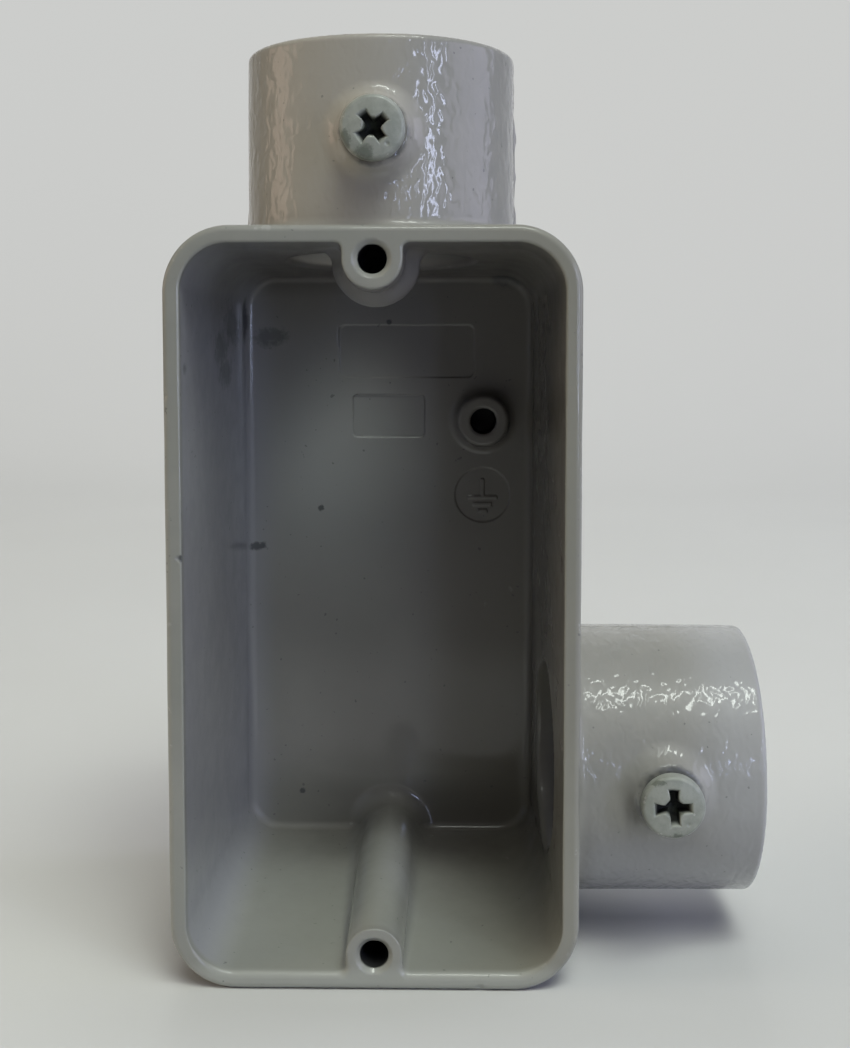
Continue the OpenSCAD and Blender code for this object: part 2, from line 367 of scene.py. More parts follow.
def cell_points(values, grid, cells):
    """Mean of the surface crossings on each cell's edges, and the cell sizes."""
    corner_values = [values[tuple(cell + step for cell, step in zip(cells, corner))]
                     for corner in CUBE]
    total, hits = np.zeros((len(cells[0]), 3)), np.zeros(len(cells[0]))
    for i, start in enumerate(CUBE):
        for j, end in enumerate(CUBE):
            if j <= i or sum(abs(start[axis] - end[axis]) for axis in range(3)) != 1:
                continue
            first, last = corner_values[i], corner_values[j]
            hit = (first < 0) != (last < 0)
            part = np.where(hit, first / np.where(hit, first - last, 1), 0)
            for axis in range(3):
                crossing = start[axis] + part * (end[axis] - start[axis])
                total[:, axis] += np.where(hit, crossing, 0)
            hits += hit
    fraction = total / hits[:, None]
    points = np.empty((len(cells[0]), 3))
    for axis, (lines, cell) in enumerate(zip(grid, cells)):
        points[:, axis] = lines[cell] + fraction[:, axis] * (lines[cell + 1] - lines[cell])
    sizes = np.stack([np.diff(lines)[cell] for lines, cell in zip(grid, cells)], axis=1)
    return points, sizes


def value_and_gradient(field, points):
    reach = 0.02
    gradient = np.zeros_like(points)
    total = np.zeros(len(points))
    for offset in TETRAHEDRON:
        value = field(*[points[:, axis] + offset[axis] * reach for axis in range(3)])
        gradient += value[:, None] * np.array(offset)
        total += value
    return total / 4, gradient / (4 * reach)


def pull_to_surface(field, points, sizes):
    """Move the points onto the field; returns them with their unit normals."""
    start = points.copy()
    for _ in range(3):
        value, gradient = value_and_gradient(field, points)
        points -= (value / np.maximum((gradient * gradient).sum(1), 0.25))[:, None] * gradient
        points = np.clip(points, start - 0.7 * sizes, start + 0.7 * sizes)
    _, gradient = value_and_gradient(field, points)
    length = np.maximum(np.linalg.norm(gradient, axis=1), 1e-9)
    return points, gradient / length[:, None]


def cell_quads(inside, index):
    """One quad for each grid edge with a change of sign, through the four cells around it."""
    quads = []
    for axis in range(3):
        below, above, inner = [slice(None)] * 3, [slice(None)] * 3, [slice(1, -1)] * 3
        below[axis], above[axis], inner[axis] = slice(0, -1), slice(1, None), slice(None)
        first = inside[tuple(below)]
        crossing = first != inside[tuple(above)]
        edge = [found + (other != axis)
                for other, found in enumerate(np.nonzero(crossing[tuple(inner)]))]
        side, next_side = (axis + 1) % 3, (axis + 2) % 3
        ring = []
        for step, next_step in ((-1, -1), (0, -1), (0, 0), (-1, 0)):
            cell = list(edge)
            cell[side] = cell[side] + step
            cell[next_side] = cell[next_side] + next_step
            ring.append(index[tuple(cell)])
        ring = np.stack(ring, axis=1)
        outward = first[tuple(edge)]
        ring[~outward] = ring[~outward][:, ::-1]
        quads.append(ring)
    return np.concatenate(quads)


def add_object(name, data):
    made = bpy.data.objects.new(name, data)
    bpy.context.scene.collection.objects.link(made)
    return made


def skin(field, grid, name, material):
    """Dual mesh of field = 0 on a rectilinear grid, pulled onto the field."""
    values = sample(field, grid)
    inside = values < 0
    cells, index = surface_cells(inside)
    points, normals = pull_to_surface(field, *cell_points(values, grid, cells))
    quads = cell_quads(inside, index)

    mesh = bpy.data.meshes.new(name)
    mesh.vertices.add(len(points))
    mesh.vertices.foreach_set("co", (points * MM).astype(F32).ravel())
    mesh.loops.add(quads.size)
    mesh.loops.foreach_set("vertex_index", quads.astype(np.int32).ravel())
    mesh.polygons.add(len(quads))
    mesh.polygons.foreach_set("loop_start", np.arange(0, quads.size, 4, dtype=np.int32))
    mesh.update(calc_edges=True)
    mesh.validate()
    mesh.polygons.foreach_set("use_smooth", np.ones(len(mesh.polygons), dtype=bool))
    mesh.normals_split_custom_set_from_vertices(normals.astype(F32).tolist())
    mesh.materials.append(material)
    return add_object(name, mesh)


# ----------------------------------------------------------------- materials
FALL = (1.0, 0.0)                      # output range of a ramp that fades out
UP_Y = (1, 0, 1)                       # weights that measure distance from a line along y


class Tree:
    """Builds a node material; coordinates are object space in mm."""

    def __init__(self, name):
        self.material = bpy.data.materials.new(name)
        self.material.use_nodes = True
        self.tree = self.material.node_tree
        self.tree.nodes.clear()
        self.output = self.node("OutputMaterial")
        self.shader = self.node("BsdfPrincipled")
        self.link(self.shader.outputs[0], self.output.inputs["Surface"])
        scale = self.node("VectorMath")
        scale.operation = "SCALE"
        self.link(self.node("TexCoord").outputs["Object"], scale.inputs[0])
        scale.inputs["Scale"].default_value = 1000.0
        self.point = scale.outputs[0]
        separate = self.node("SeparateXYZ")
        self.link(self.point, separate.inputs[0])
        self.xyz = tuple(separate.outputs)
        self.base = None               # colour so far, built up by paint

    def node(self, kind):
        return self.tree.nodes.new("ShaderNode" + kind)

    def link(self, source, target):
        self.tree.links.new(source, target)

    def set(self, socket, value):
        if isinstance(value, bpy.types.NodeSocket):
            self.link(value, socket)
        else:
            socket.default_value = value

    def feed(self, **values):
        """Set shader inputs; an underscore stands for a space."""
        for name, value in values.items():
            self.set(self.shader.inputs[name.replace("_", " ")], value)

    def math(self, operation, *values):
        node = self.node("Math")
        node.operation = operation
        for socket, value in zip(node.inputs, (*values, 0.0, 0.0)):
            self.set(socket, value)
        return node.outputs[0]

    def mul(self, first, *rest):
        for value in rest:
            first = self.math("MULTIPLY", first, value)
        return first

    def most(self, first, *rest):
        for value in rest:
            first = self.math("MAXIMUM", first, value)
        return first

    def mul_add(self, value, factor, addend):
        return self.math("MULTIPLY_ADD", value, factor, addend)

    def invert(self, value):
        return self.math("SUBTRACT", 1.0, value)

    def vector(self, operation, first, second=(0, 0, 0)):
        node = self.node("VectorMath")
        node.operation = operation
        self.set(node.inputs[0], first)
        self.set(node.inputs[1], second)
        return node.outputs["Value"] if operation == "LENGTH" else node.outputs[0]

    def distance(self, centre, weights):
        """Distance from centre with each axis weighted."""
        away = self.vector("SUBTRACT", self.point, centre)
        return self.vector("LENGTH", self.vector("MULTIPLY", away, weights))

    def noise(self, seed, scale, detail, rough, point=None, output="Fac"):
        node = self.node("TexNoise")
        node.noise_dimensions = "4D"
        self.link(self.point if point is None else point, node.inputs["Vector"])
        node.inputs["W"].default_value = seed
        node.inputs["Scale"].default_value = scale
        node.inputs["Detail"].default_value = detail
        node.inputs["Roughness"].default_value = rough
        return node.outputs[output]

    def ramp(self, value, start, end, to=(0.0, 1.0)):
        """Smooth step from to[0] at start to to[1] at end."""
        node = self.node("MapRange")
        node.interpolation_type = "SMOOTHSTEP"
        self.link(value, node.inputs["Value"])
        node.inputs["From Min"].default_value = start
        node.inputs["From Max"].default_value = end
        node.inputs["To Min"].default_value = to[0]
        node.inputs["To Max"].default_value = to[1]
        return node.outputs["Result"]

    def paint(self, colour, mask, over=None):
        """Lay colour over the base (or over another colour) where mask is 1."""
        node = self.node("Mix")
        node.data_type = "RGBA"
        self.link(mask, node.inputs[0])
        self.set(node.inputs[6], self.base if over is None else (*over, 1.0))
        node.inputs[7].default_value = (*colour, 1.0)
        self.base = node.outputs[2]

    def bump(self, height, distance, strength, normal=None):
        node = self.node("Bump")
        self.link(height, node.inputs["Height"])
        self.set(node.inputs["Strength"], strength)
        node.inputs["Distance"].default_value = distance
        if normal is not None:
            self.link(normal, node.inputs["Normal"])
        return node.outputs[0]

    def spot(self, centre, radius, weights, soft, warp, amount):
        """1 inside a soft blob round centre, broken up by amount times warp."""
        distance = self.mul_add(warp, amount, self.distance(centre, weights))
        return self.ramp(distance, radius * (1 - soft), radius, to=FALL)


# centre, radius, axis weights, warp amount
SCUFFS = (((-17.9, 16.5, 69.0), 1.55, (0.5, 1.0, 0.46), 1.2),
          ((-16.9, 18.0, 40.2), 0.9, (0.7, 1, 1.4), 2.2),
          ((-8.7, 18.0, 45.2), 0.5, (1, 1, 1), 1.0),
          ((0.0, 18.0, 68.9), 0.45, (1, 1, 1), 0.6),
          ((-11.3, 18.0, 8.2), 0.45, (1, 1, 1), 1.0),
          ((-19.3, -19.9, 44.6), 0.5, (1, 1, 1), 0.8))
STAINS = (((-18.2, 8.5, 68.4), 2.4, (0.5, 0.40, 0.8), 4.2),
          ((-18.2, 1.5, 65.4), 2.2, (0.5, 0.45, 0.8), 4.0),
          ((-18.2, 4.0, 62.8), 2.0, (0.5, 0.40, 0.9), 3.8),
          ((-18.6, -17.6, 63.6), 0.9, (0.5, 0.7, 1), 1.2),
          ((-15.2, 18.0, 67.0), 1.6, (0.55, 1, 1.1), 4.0),
          ((15.0, 17.2, 74.0), 1.6, (0.5, 1, 1), 3.0))
# x, z, radius, front y, end y of the screw holes
DARK_HOLES = (*[(0.0, hole_z, COVER_R, FRONT_Y, FRONT_Y + 8.2) for hole_z in COVER_Z],
              (GROUND_X, GROUND_Z, GROUND_R, GROUND_Y, 19.4))


def enamel_regions(tree):
    """Masks for the hubs, the chamber and its inside, and distance out from the box core."""
    x, y, z = tree.xyz
    mul, ramp = tree.mul, tree.ramp

    def past_core(value, half):
        return tree.most(tree.math("SUBTRACT", tree.math("ABSOLUTE", value), half - CORNER), 0.0)

    on_hub = tree.most(ramp(z, BOX_H - 0.5, BOX_H + 1.5), ramp(x, HALF_W - 0.5, HALF_W + 1.5))
    past_x = past_core(x, HALF_W)
    past_z = past_core(tree.math("SUBTRACT", z, BOX_H / 2), BOX_H / 2)
    wall = tree.math("SQRT", tree.math("ADD", mul(past_x, past_x), mul(past_z, past_z)))
    chamber = mul(ramp(wall, CORNER - 0.5, CORNER - 1.2), ramp(y, 19.2, 18.7))
    inside = mul(ramp(y, FRONT_Y + 0.4, FRONT_Y + 1.5), chamber, tree.invert(on_hub))
    return on_hub, wall, chamber, inside


def paint_hub_fill_light(tree):
    """Painted light on the hubs: lighter enamel on the top hub's front left and centre, and on
    the side hub's lower part and right end.
    """
    x, y, z = tree.xyz
    mul, ramp = tree.mul, tree.ramp
    # painted light on the front left and centre of the top hub
    top = mul(ramp(x, 7.0, 1.0), mul(ramp(x, -14.0, -9.5, to=(0.35, 1.0)), ramp(y, 2.0, -6.0)))
    top = mul(ramp(z, BOX_H - 0.5, BOX_H + 2.0), top)
    tree.paint((0.312, 0.296, 0.262), mul(top, 0.85))
    # painted light on the lower part and right end of the side hub
    side = tree.most(ramp(z, 17.0, 8.0, to=(0.0, 0.95)), ramp(x, 31.0, 39.0, to=(0.0, 0.85)))
    tree.paint((0.318, 0.318, 0.318), mul(ramp(x, HALF_W + 0.5, HALF_W + 3.0), side))


def paint_bore_shade(tree):
    x, _, z = tree.xyz
    top = tree.vector("LENGTH", tree.vector("MULTIPLY", tree.point, (1, 1, 0)))
    side = tree.distance((0, 0, SIDE_Z), (0, 1, 1))
    tubes = [tree.mul(tree.ramp(radial, BORE_R + 0.25, BORE_R + 0.6, to=FALL),
                      tree.ramp(along, start, end))
             for radial, along, start, end in ((top, z, 75.9, 76.6), (side, x, 18.7, 19.4))]
    # painted shade deep inside the top and side conduit bores
    tree.paint((0.055, 0.062, 0.056), tree.mul(tree.most(*tubes), 0.72))


def paint_chamber_light_and_shade(tree, inside, broad):
    """Painted light and shade in the chamber below its roof."""
    x, y, z = tree.xyz
    mul, ramp = tree.mul, tree.ramp
    # painted purplish cast of the light on the chamber walls above the bottom wall
    tree.paint((0.228, 0.212, 0.218), mul(ramp(z, 4.0, 16.0, to=(0.0, 0.45)), inside))
    # painted shade low on the right towards the back, painted light elsewhere low down
    corner = mul(ramp(x, 1.0, 11.0), ramp(y, -6.0, 12.0), ramp(z, 52.0, 14.0, to=(0.0, 0.58)))
    tree.paint((0.085, 0.075, 0.062), mul(corner, inside))
    elsewhere = mul(tree.invert(corner), ramp(y, 17.6, 15.0, to=(0.1, 1.0)), inside)
    tree.paint((0.300, 0.310, 0.275), mul(ramp(z, 34.0, 4.0, to=(0.0, 0.42)), elsewhere))
    # painted shade at the back of the bottom wall and low on the back wall
    right = tree.math("SUBTRACT", ramp(x, 0.0, 6.0, to=(0.0, 0.28)),
                      ramp(x, 13.0, 17.0, to=(0.0, 0.45)))
    across = tree.math("ADD", ramp(x, -15.0, -2.0, to=(0.25, 0.62)), right)
    rear = mul(ramp(y, 3.0, 13.0), ramp(z, 13.0, 7.5), across)
    low_back = mul(ramp(z, 36.0, 18.0), ramp(y, 15.5, 17.5), ramp(x, -13.0, -2.0, to=(0.0, 0.30)))
    tree.paint((0.080, 0.075, 0.068), mul(tree.most(rear, low_back), inside))
    # painted pool of light on the back wall, painted cool light on the left wall
    pale = tree.spot((-8.5, 18.0, 51.0), radius=20.0, weights=(1.05, 1.6, 0.85), soft=1.0,
                     warp=tree.math("SUBTRACT", broad, 0.5), amount=8.0)
    tree.paint((0.340, 0.347, 0.338), mul(pale, 0.92, inside))
    tree.paint((0.272, 0.277, 0.300), mul(ramp(x, -14.0, -18.0, to=(0.0, 0.60)), inside))


def paint_wear_and_light(tree, on_hub, wall, crest):
    """Painted warm shade on the right side, painted light on the bottom rim, worn crests with
    painted edge highlights, and chips along the outer rim edge.
    """
    x, y, z = tree.xyz
    mul, ramp = tree.mul, tree.ramp
    body = tree.invert(on_hub)
    # painted shade, darker and warmer towards the right side of the body
    tree.paint((0.185, 0.170, 0.125), mul(ramp(x, 4.0, 21.0, to=(0.0, 0.35)), body))
    # painted light on the bottom of the front rim
    low = mul(ramp(z, 1.4, 3.2, to=FALL), ramp(y, FRONT_Y + 0.5, FRONT_Y + 1.4, to=FALL))
    tree.paint((0.36, 0.37, 0.335), mul(low, 0.5))
    # wear and painted highlight on the convex crests
    broken = ramp(tree.noise(seed=4.0, scale=0.9, detail=4, rough=0.7), 0.45, 0.7)
    tree.paint((0.33, 0.33, 0.315), mul(crest, broken, 0.50))
    lip = mul(ramp(wall, CORNER - 0.75, CORNER - 0.35), ramp(y, FRONT_Y + 1.6, FRONT_Y + 0.9),
              tree.invert(on_hub))
    worn = ramp(tree.noise(seed=17.0, scale=0.62, detail=5, rough=0.72), 0.585, 0.66)
    tree.paint((0.36, 0.36, 0.34), mul(lip, worn, 0.48))
    pits = ramp(tree.noise(seed=18.0, scale=0.95, detail=3, rough=0.6), 0.645, 0.68)
    tree.paint((0.070, 0.072, 0.070), mul(lip, pits, 0.60))


def enamel_marks(tree, chamber):
    """Dark scuffs, stains, dirt and painted shade in a ring round each set screw, and specks."""
    y = tree.xyz[1]
    mul, most, ramp = tree.mul, tree.most, tree.ramp
    warp = tree.math("SUBTRACT", tree.noise(seed=5.0, scale=0.8, detail=5, rough=0.72), 0.5)

    def blobs(table, soft):
        return most(*[tree.spot(centre, radius, weights, soft, warp, amount)
                      for centre, radius, weights, amount in table])

    marks = most(blobs(SCUFFS, soft=0.5), mul(blobs(STAINS, soft=0.7), 0.62, chamber))
    # dirt and painted shade in the gap round each set screw head
    dirt_and_shade_rings = []
    for screw_x, screw_z in SET_SCREWS:
        radial = tree.mul_add(warp, 0.9, tree.distance((screw_x, 0, screw_z), UP_Y))
        patchy = tree.noise(seed=15.0 + screw_x, scale=0.45, detail=2, rough=0.6)
        dirt_and_shade_rings.append(mul(ramp(radial, 3.35, 3.85, to=FALL), ramp(y, -15.0, -15.8),
                         ramp(patchy, 0.40, 0.56, to=(0.25, 1.0))))
    marks = most(marks, mul(most(*dirt_and_shade_rings), 0.75))
    specks = ramp(tree.noise(seed=6.0, scale=1.7, detail=1, rough=0.4), 0.745, 0.775)
    return most(mul(marks, 0.82), mul(specks, 0.45))


def hole_shade_mask(tree):
    y = tree.xyz[1]
    holes = []
    for hole_x, hole_z, radius, front, end in DARK_HOLES:
        radial = tree.distance((hole_x, 0, hole_z), UP_Y)
        depth = tree.mul(tree.ramp(y, front + 0.35, front + 0.8),
                         tree.ramp(y, end, end + 0.25, to=FALL))
        holes.append(tree.mul(tree.ramp(radial, radius + 0.03, radius + 0.13, to=FALL), depth))
    return tree.most(*holes)


def enamel_relief(tree, on_hub, inside, marks):
    """Orange peel: rounded lumps, strongest on the hubs and in the clear coat."""
    mul, mul_add = tree.mul, tree.mul_add
    wander = tree.noise(seed=9.0, scale=0.7, detail=1, rough=0.5, output="Color")
    wander = tree.vector("SUBTRACT", wander, (0.5, 0.5, 0.5))
    swirl = tree.vector("ADD", tree.point, tree.vector("MULTIPLY", wander, (1.6, 1.6, 1.6)))
    swirl = tree.vector("MULTIPLY", swirl, (1.50, 0.85, 0.66))
    peel = tree.noise(seed=7.0, scale=0.98, detail=0, rough=0.42, point=swirl)
    slow = tree.noise(seed=7.8, scale=0.5, detail=1, rough=0.5)
    amount = mul_add(on_hub, 0.90, mul_add(inside, -0.088, 0.10))

    to_side = tree.ramp(tree.xyz[0], HALF_W - 2.0, HALF_W + 2.0, to=(0.58, 0.78))
    coat = tree.bump(peel, distance=0.00025, strength=mul(amount, to_side))
    strength = mul_add(on_hub, 0.4, mul_add(inside, -0.12, 0.15))
    coat = tree.bump(slow, distance=0.00012, strength=strength, normal=coat)

    under = tree.bump(peel, distance=0.00020, strength=mul(amount, 0.22))
    grain = tree.noise(seed=8.0, scale=7.0, detail=2, rough=0.6)
    under = tree.bump(grain, distance=0.000006, strength=0.6, normal=under)
    under = tree.bump(mul(marks, -1.0), distance=0.00003, strength=0.6, normal=under)
    tree.feed(Normal=under, Coat_Normal=coat)


def enamel():
    tree = Tree("grey_enamel")
    x, y, z = tree.xyz
    mul, most, ramp = tree.mul, tree.most, tree.ramp
    broad = tree.noise(seed=1.0, scale=0.055, detail=3, rough=0.55)
    middle = tree.noise(seed=2.0, scale=0.35, detail=3, rough=0.6)
    fine = tree.noise(seed=3.0, scale=2.6, detail=3, rough=0.6)
    on_hub, wall, chamber, inside = enamel_regions(tree)

    tree.paint((0.238, 0.237, 0.214), ramp(broad, 0.35, 0.65), over=(0.216, 0.219, 0.196))
    tree.paint((0.250, 0.242, 0.222), mul(on_hub, 0.75))
    tree.paint((0.194, 0.194, 0.182), ramp(middle, 0.35, 0.75, to=(0.0, 0.30)))
    tree.paint((0.15, 0.15, 0.142), ramp(fine, 0.60, 0.78, to=(0.0, 0.12)))
    paint_hub_fill_light(tree)
    # dirt and painted shade pooled in hollows
    pointiness = tree.node("NewGeometry").outputs["Pointiness"]
    tree.paint((0.10, 0.105, 0.10), mul(ramp(pointiness, 0.40, 0.475, to=FALL), 0.15))
    # the chamber darkens to the right, upwards and at its roof
    shade = tree.math("ADD", mul(x, 0.070), tree.mul_add(z, 0.012, -0.20))
    shade = ramp(tree.mul_add(broad, 0.5, shade), 0.30, 1.30, to=(0.0, 0.58))
    shade = most(shade, mul(ramp(z, 71.5, 74.5, to=(0.0, 0.90)), ramp(y, -14.0, -6.0)))
    tree.paint((0.085, 0.077, 0.064), mul(shade, inside))
    paint_bore_shade(tree)
    paint_chamber_light_and_shade(tree, inside, broad)
    paint_wear_and_light(tree, on_hub, wall, crest=ramp(pointiness, 0.54, 0.64))
    marks = enamel_marks(tree, chamber)
    tree.paint((0.045, 0.05, 0.055), marks)
    # painted shade deep in the cover and ground screw holes
    holes = hole_shade_mask(tree)
    tree.paint((0.012, 0.012, 0.015), mul(holes, 0.95))

    # the clear coat thins out in the holes and under the roof
    roof = mul(ramp(z, 71.5, 74.5), ramp(y, -16.0, -10.0), inside)
    tree.feed(Base_Color=tree.base,
              Roughness=tree.math("ADD", ramp(middle, 0.3, 0.7, to=(0.34, 0.44)),
                                  mul(marks, 0.25)),
              Specular_IOR_Level=0.30,
              Coat_Weight=tree.mul_add(most(holes, mul(roof, 0.75)), -0.85, 0.9),
              Coat_Roughness=ramp(broad, 0.3, 0.7, to=(0.07, 0.11)))
    enamel_relief(tree, on_hub, inside, marks)
    return tree.material


def screw_dirt_and_shade():
    """Centre, radius and axis weights of the dark patches on the screw heads: dirt and painted
    shade.
    """
    # offset from the screw centre on the head face, radius, axis weights
    top = (((-0.9, 0.3, -2.6), 1.25, (1, 0.5, 1.1)), ((-2.7, 0.4, -1.2), 0.9, (1.2, 0.5, 0.7)),
           ((-0.2, 0.0, 0.2), 1.0, (1, 0.3, 1)))
    side = (((-1.6, 0.3, 2.6), 0.55, (0.8, 0.5, 1.3)), ((0.5, 0.3, -2.8), 0.5, (0.7, 0.5, 1.2)),
            ((0.1, 0.0, -0.3), 0.95, (1, 0.3, 1)))
    return [((screw_x + x, HEAD_Y + y, screw_z + z), radius, weights)
            for (screw_x, screw_z), spots in zip(SET_SCREWS, (top, side))
            for (x, y, z), radius, weights in spots]


def plated():
    tree = Tree("screw_plating")
    y = tree.xyz[1]
    mul, most, ramp = tree.mul, tree.most, tree.ramp
    broad = tree.noise(seed=11.0, scale=0.8, detail=3, rough=0.6)
    fine = tree.noise(seed=12.0, scale=4.5, detail=4, rough=0.65)
    tree.paint((0.290, 0.302, 0.272), ramp(broad, 0.35, 0.65), over=(0.235, 0.250, 0.222))
    tree.paint((0.17, 0.18, 0.16), ramp(fine, 0.55, 0.75, to=(0.0, 0.35)))
    # bright metal on worn crests
    pointiness = tree.node("NewGeometry").outputs["Pointiness"]
    worn = ramp(tree.noise(seed=13.0, scale=1.8, detail=4, rough=0.7), 0.42, 0.6)
    chip = mul(ramp(pointiness, 0.53, 0.60), worn)
    tree.paint((0.55, 0.55, 0.53), mul(chip, 0.7))
    # the recess is painted near black deep down
    near = tree.math("MINIMUM", *[tree.distance((screw_x, 0, screw_z), UP_Y)
                                  for screw_x, screw_z in SET_SCREWS])
    deep = mul(ramp(y, HEAD_Y + 0.22, HEAD_Y + 0.9), ramp(near, 2.15, 2.35, to=FALL),
               most(ramp(y, HEAD_Y + 1.65, HEAD_Y + 1.78, to=FALL),
                    ramp(near, 0.9, 1.1, to=FALL)))
    tree.paint((0.014, 0.015, 0.015), mul(deep, 0.95))
    # painted shade in the hollows of the screws
    tree.paint((0.06, 0.06, 0.055), mul(ramp(pointiness, 0.40, 0.48, to=FALL), 0.5))
    warp = tree.math("SUBTRACT", tree.noise(seed=16.0, scale=1.1, detail=5, rough=0.72), 0.5)
    # dirt and painted shade on the screw heads
    dirt_and_shade_spots = most(*[tree.spot(*entry, soft=0.6, warp=warp, amount=2.6)
                   for entry in screw_dirt_and_shade()])
    tree.paint((0.060, 0.072, 0.052), mul(dirt_and_shade_spots, 0.62))

    dents = tree.noise(seed=14.0, scale=2.2, detail=3, rough=0.6)
    grain = tree.noise(seed=15.0, scale=9.0, detail=2, rough=0.6)
    relief = tree.bump(dents, distance=0.00003, strength=0.8)
    tree.feed(Base_Color=tree.base,
              Metallic=tree.mul_add(chip, 0.7, 0.15),
              Specular_IOR_Level=tree.mul_add(deep, -0.40, 0.45),
              Roughness=ramp(fine, 0.3, 0.7, to=(0.30, 0.46)),
              Normal=tree.bump(grain, distance=0.000008, strength=0.8, normal=relief))
    return tree.material


SURROUND = (0.605, 0.612, 0.600, 1.0)  # what the camera sees far away


def paper():
    """Pale paper; what the object mirrors of it in front of the camera is dim."""
    tree = Tree("pale_floor")
    x, y, _ = tree.xyz
    mul, ramp = tree.mul, tree.ramp
    tone = tree.noise(seed=21.0, scale=0.012, detail=2, rough=0.5)
    tree.paint((0.517, 0.519, 0.511), tone, over=(0.488, 0.491, 0.483))
    rays = tree.node("LightPath").outputs
    # painted shade on the floor beside the right of the box, stronger towards the front
    side = mul(ramp(x, 22.0, 75.0), ramp(y, 70.0, -10.0))
    tree.paint((0.05, 0.05, 0.05), mul(side, 0.17))
    # painted shade on the floor in front, seen only in reflections and bounce light
    indirect = tree.most(rays["Is Glossy Ray"], mul(rays["Is Diffuse Ray"], 0.45))
    tree.paint((0.05, 0.048, 0.045), mul(indirect, ramp(y, -55.0, -130.0), 0.85))
    grain = tree.noise(seed=22.0, scale=1.5, detail=3, rough=0.6)
    tree.feed(Base_Color=tree.base, Roughness=0.75, Specular_IOR_Level=0.25,
              Normal=tree.bump(grain, distance=0.00002, strength=0.5))
    # fades into the surround with distance
    glow = tree.node("Emission")
    glow.inputs["Color"].default_value = SURROUND
    blend = tree.node("MixShader")
    far = ramp(tree.vector("LENGTH", tree.point), 260.0, 950.0)
    tree.link(mul(far, rays["Is Camera Ray"]), blend.inputs[0])
    tree.link(tree.shader.outputs[0], blend.inputs[1])
    tree.link(glow.outputs[0], blend.inputs[2])
    tree.link(blend.outputs[0], tree.output.inputs["Surface"])
    return tree.material


# -------------------------------------------------------------------- pieces
def build_body(material):
    """The grid is finer at rims, lettering, flash line and hub mouths."""
    grid = (
        steps(FRONT_Y - 1.6, SIDE_END + 0.7, 0.42,
              [(-21.2, -18.9, 0.26), (18.9, 21.4, 0.26), (8.2, 15.6, 0.24), (-4.8, 4.8, 0.30),
               (SIDE_END - 1.2, SIDE_END + 0.3, 0.28)]),
        steps(FRONT_Y - 0.6, BACK_Y + 0.6, 0.42,
              [(-20.25, -18.9, 0.18), (-16.4, -15.4, 0.25), (-0.45, 0.45, 0.1125),
               (17.3, 18.45, 0.16)]),
        steps(-0.6, TOP_END + 0.6, 0.42,
              [(-0.2, 1.9, 0.26), (1.9, 5.3, 0.24), (72.9, 75.6, 0.24), (75.6, 78.4, 0.26),
               (43.2, 60.0, 0.24), (TOP_END - 1.2, TOP_END + 0.3, 0.28)]))
    body = skin(casting, grid, "cast_housing", material)
    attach(body, "casting")
    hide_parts("cast_body")


def build_screw(label, centre, turn, arm, material):
    across = steps(-3.6, 3.6, 0.11)
    along = steps(HEAD_Y - 0.4, TIP_Y + 0.4, 0.11)
    screw = skin(set_screw(turn, arm), (across, along, across), label + "_clamp_screw", material)
    screw.data.transform(Matrix.Translation((centre[0] * MM, 0, centre[1] * MM)))
    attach(screw, label + "_screw")
    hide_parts(label + "_set_screw")


def build_floor(material):
    """Floor that curves up into a backdrop, in metres."""
    bend_y, bend_r = 0.45, 0.35
    profile = [(-0.9, 0.0), (-0.3, 0.0), (0.0, 0.0), (0.25, 0.0), (bend_y, 0.0)]
    for i in range(1, 13):
        angle = math.pi / 2 * i / 12
        profile.append((bend_y + bend_r * math.sin(angle), bend_r * (1 - math.cos(angle))))
    profile.append((0.80, 1.6))
    columns = [-1.6, -0.8, -0.3, 0.0, 0.3, 0.8, 1.6]
    drop = 0.00005                     # keeps the paper just below the box
    work = bmesh.new()
    rows = [[work.verts.new((x, y, z - drop)) for x in columns] for y, z in profile]
    for row, above in zip(rows[:-1], rows[1:]):
        for j in range(len(columns) - 1):
            work.faces.new((row[j], row[j + 1], above[j + 1], above[j]))
    mesh = bpy.data.meshes.new("studio_floor")
    work.to_mesh(mesh)
    work.free()
    for face in mesh.polygons:
        face.use_smooth = True
    mesh.materials.append(material)
    add_object("studio_floor", mesh)


enamel_material, screw_material, floor_material = enamel(), plated(), paper()
build_body(enamel_material)
build_screw("top", TOP_SCREW, turn=38.0, arm=1.80, material=screw_material)
build_screw("side", SIDE_SCREW, turn=3.0, arm=2.0, material=screw_material)
build_floor(floor_material)

# --------------------------------------------------------- light and camera
scene = bpy.context.scene
scene.view_settings.view_transform = "Standard"
scene.view_settings.look = "None"
scene.view_settings.exposure = 0.0
scene.view_settings.gamma = 1.0


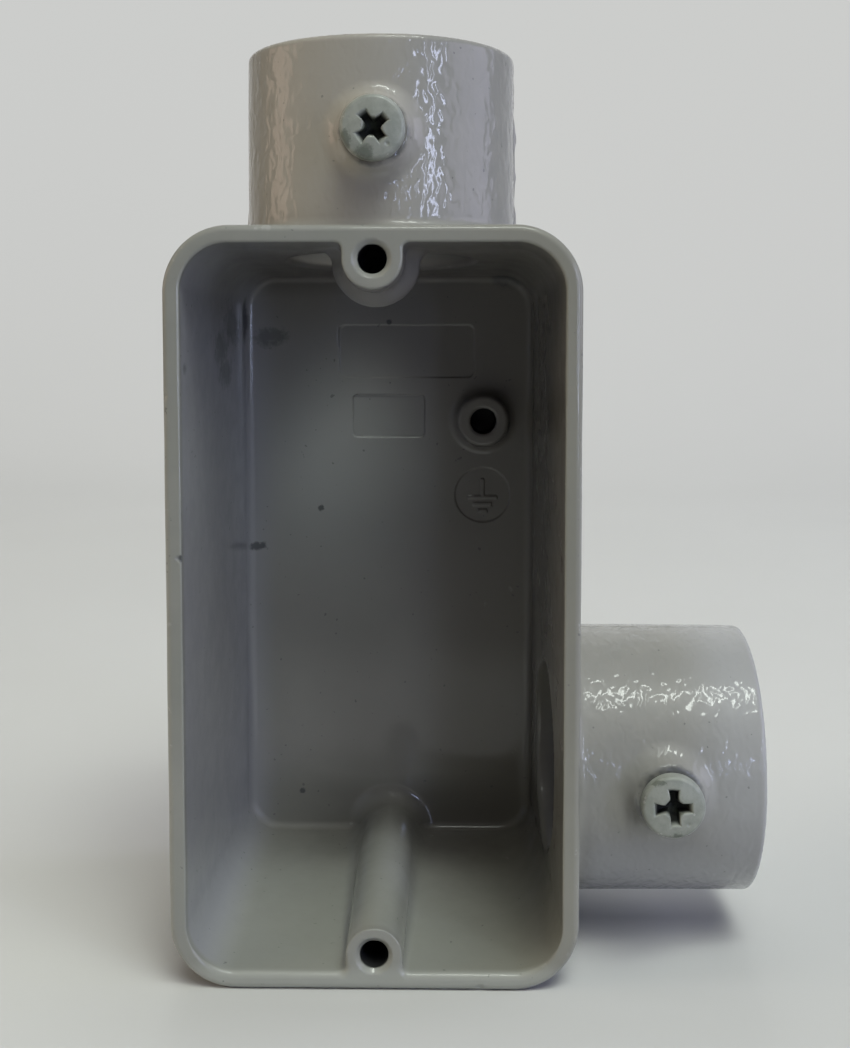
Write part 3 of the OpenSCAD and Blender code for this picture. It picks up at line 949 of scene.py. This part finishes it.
def build_world():
    """Dim light, warm from the left and cool from the right; the camera sees the surround."""
    world = bpy.data.worlds.new("studio")
    scene.world = world
    world.use_nodes = True
    nodes, link = world.node_tree.nodes, world.node_tree.links.new
    nodes.clear()
    output = nodes.new("ShaderNodeOutputWorld")
    coordinates = nodes.new("ShaderNodeTexCoord")
    separate = nodes.new("ShaderNodeSeparateXYZ")
    link(coordinates.outputs["Generated"], separate.inputs[0])
    across = nodes.new("ShaderNodeMapRange")
    across.inputs["From Min"].default_value = -0.9
    across.inputs["From Max"].default_value = 0.9
    link(separate.outputs["X"], across.inputs["Value"])
    tint = nodes.new("ShaderNodeMix")
    tint.data_type = "RGBA"
    link(across.outputs["Result"], tint.inputs[0])
    tint.inputs[6].default_value = (0.62, 0.52, 0.44, 1)
    tint.inputs[7].default_value = (0.57, 0.59, 0.80, 1)
    light = nodes.new("ShaderNodeBackground")
    link(tint.outputs[2], light.inputs["Color"])
    light.inputs["Strength"].default_value = 0.105
    seen = nodes.new("ShaderNodeBackground")
    seen.inputs["Color"].default_value = SURROUND
    blend = nodes.new("ShaderNodeMixShader")
    rays = nodes.new("ShaderNodeLightPath")
    link(rays.outputs["Is Camera Ray"], blend.inputs[0])
    link(light.outputs[0], blend.inputs[1])
    link(seen.outputs[0], blend.inputs[2])
    link(blend.outputs[0], output.inputs[0])


def area_light(name, place, target, size, power, colour, mirrored):
    data = bpy.data.lights.new(name, "AREA")
    data.shape = "RECTANGLE"
    data.size, data.size_y = size
    data.energy = power
    data.color = colour
    light = add_object(name, data)
    light.location = place
    light.rotation_mode = "QUATERNION"
    light.rotation_quaternion = (Vector(target) - Vector(place)).to_track_quat("-Z", "Y")
    if not mirrored:
        light.visible_glossy = False


AIM = Vector((0.005, -0.01, 0.045))
LIGHT_DISTANCE = 0.9
# name, degrees right of the front, elevation, size, power, colour, seen in reflections
LIGHTS = (
    ("window_right", 44, 9, (0.085, 0.36), 1.05, (0.82, 0.90, 1.22), True),
    ("window_fill", 42, 12, (0.25, 0.36), 0.28, (0.82, 0.91, 1.25), False),
    ("window_edge", 20, 4, (0.04, 0.16), 0.22, (0.75, 0.88, 1.35), True),
    ("tubes", 22, 65, (0.42, 0.09), 1.45, (0.97, 1.04, 0.97), True),
    ("overhead", 38, 62, (0.45, 0.45), 3.4, (0.98, 1.05, 0.95), False),
    ("front_high", 12, 52, (0.35, 0.35), 2.2, (1.01, 1.02, 0.97), False),
    ("from_behind", 180, 45, (0.45, 0.45), 1.7, (1.00, 1.02, 0.97), False),
    ("left_low", -80, 12, (0.45, 0.34), 2.3, (1.20, 1.03, 0.78), False),
    ("left_sheen", -93, 12, (0.30, 0.30), 0.25, (1.27, 0.92, 0.75), True),
    ("right_low", 84, 15, (0.75, 0.40), 0.98, (0.93, 0.90, 1.20), True),
    ("right_rear", 97, 13, (0.50, 0.30), 1.5, (0.84, 0.89, 1.28), False),
)


def build_lights():
    for name, azimuth, elevation, *settings in LIGHTS:
        turn, rise = math.radians(azimuth), math.radians(elevation)
        direction = Vector((math.sin(turn) * math.cos(rise), -math.cos(turn) * math.cos(rise),
                            math.sin(rise)))
        area_light(name, AIM + direction * LIGHT_DISTANCE, AIM, *settings)
    area_light("wall_wash", (0.0, 0.10, 0.95), (0.0, 0.80, 0.60), size=(0.9, 0.3), power=3.2,
               colour=(1.0, 0.995, 1.02), mirrored=False)


def build_camera():
    data = bpy.data.cameras.new("photo_view")
    data.sensor_width = 36.0
    data.lens = 47.2293893
    data.shift_y = -0.0849236641
    data.clip_start, data.clip_end = 0.01, 20.0
    camera = add_object("photo_view", data)
    place = (0.00777, -0.15675, 0.06634)
    yaw, pitch, roll = -0.01837, 0.06737, -0.00038     # right, down, about the view; radians
    forward = Vector((math.sin(yaw) * math.cos(pitch), math.cos(yaw) * math.cos(pitch),
                      -math.sin(pitch)))
    level = Vector((math.cos(yaw), -math.sin(yaw), 0.0))
    upright = level.cross(forward)
    right = level * math.cos(roll) + upright * math.sin(roll)
    up = -level * math.sin(roll) + upright * math.cos(roll)
    rows = [(right[i], up[i], -forward[i], place[i]) for i in range(3)]
    camera.matrix_world = Matrix((*rows, (0, 0, 0, 1)))
    scene.camera = camera


build_world()
build_lights()
build_camera()
